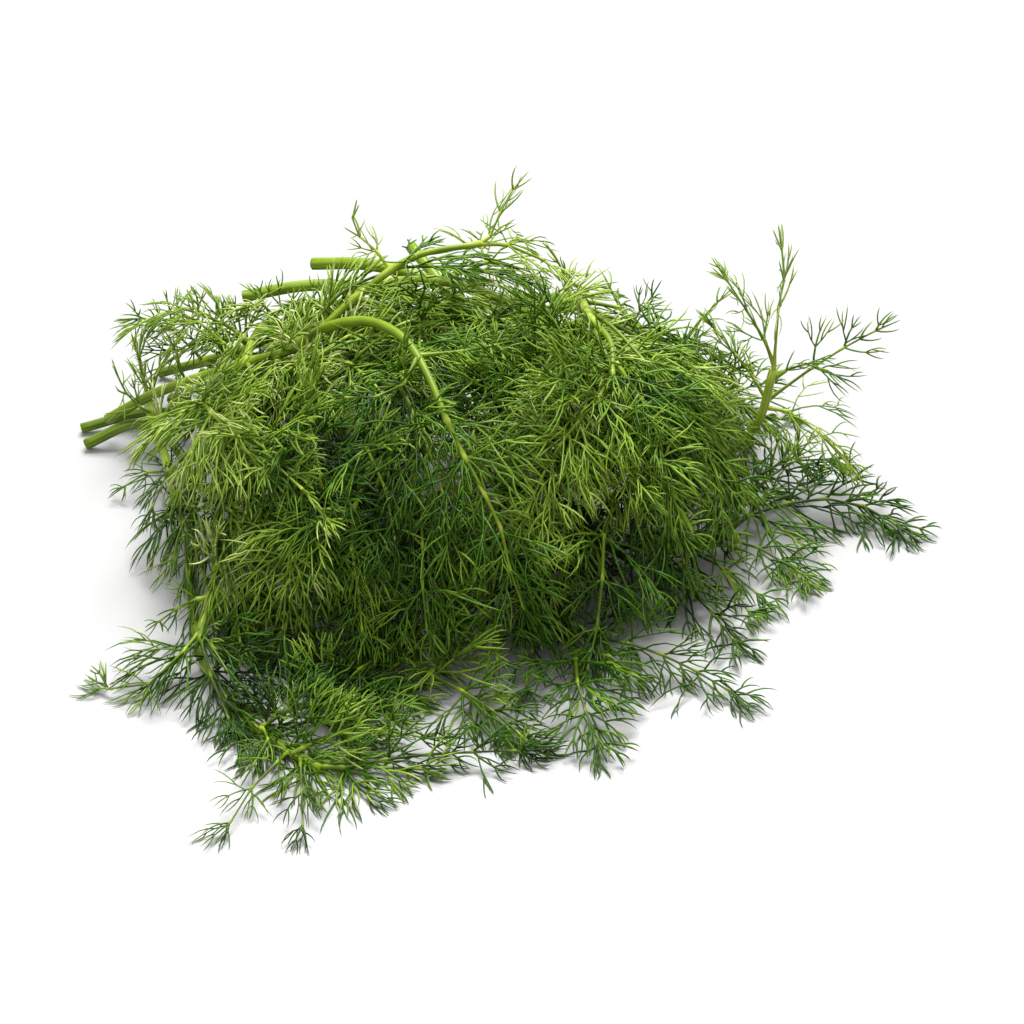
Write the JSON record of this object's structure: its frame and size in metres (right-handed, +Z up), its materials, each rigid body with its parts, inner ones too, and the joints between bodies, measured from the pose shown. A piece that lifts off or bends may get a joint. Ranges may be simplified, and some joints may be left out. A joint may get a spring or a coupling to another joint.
{
  "type": "dill bunch",
  "caption": "Loose bunch of fresh cut dill lying in a domed heap: leafy stems with cut ends at the back left and feathery fronds that hang over the heap and spread on the table.",
  "frame": {"origin": "where the lowest stem rests on the table, near the middle of the heap", "axes": "+X along the heap towards its leafy right end, +Y towards the cut ends at the back, +Z up"},
  "size_m": [0.3107, 0.2918, 0.1075],
  "materials": {
    "dill": "fresh leaf, satin"
  },
  "bodies": {
    "root": {"leafy_stem_01": "dill", "leafy_stem_02": "dill", "leafy_stem_03": "dill", "leafy_stem_04": "dill", "leafy_stem_05": "dill", "leafy_stem_06": "dill", "leafy_stem_07": "dill", "leafy_stem_08": "dill", "leafy_stem_09": "dill", "leafy_stem_10": "dill", "leafy_stem_11": "dill", "leafy_stem_12": "dill", "leafy_stem_13": "dill", "leafy_stem_14": "dill", "leafy_stem_15": "dill", "leafy_stem_16": "dill", "leafy_stem_17": "dill", "leafy_stem_18": "dill"}
  },
  "joints": []
}
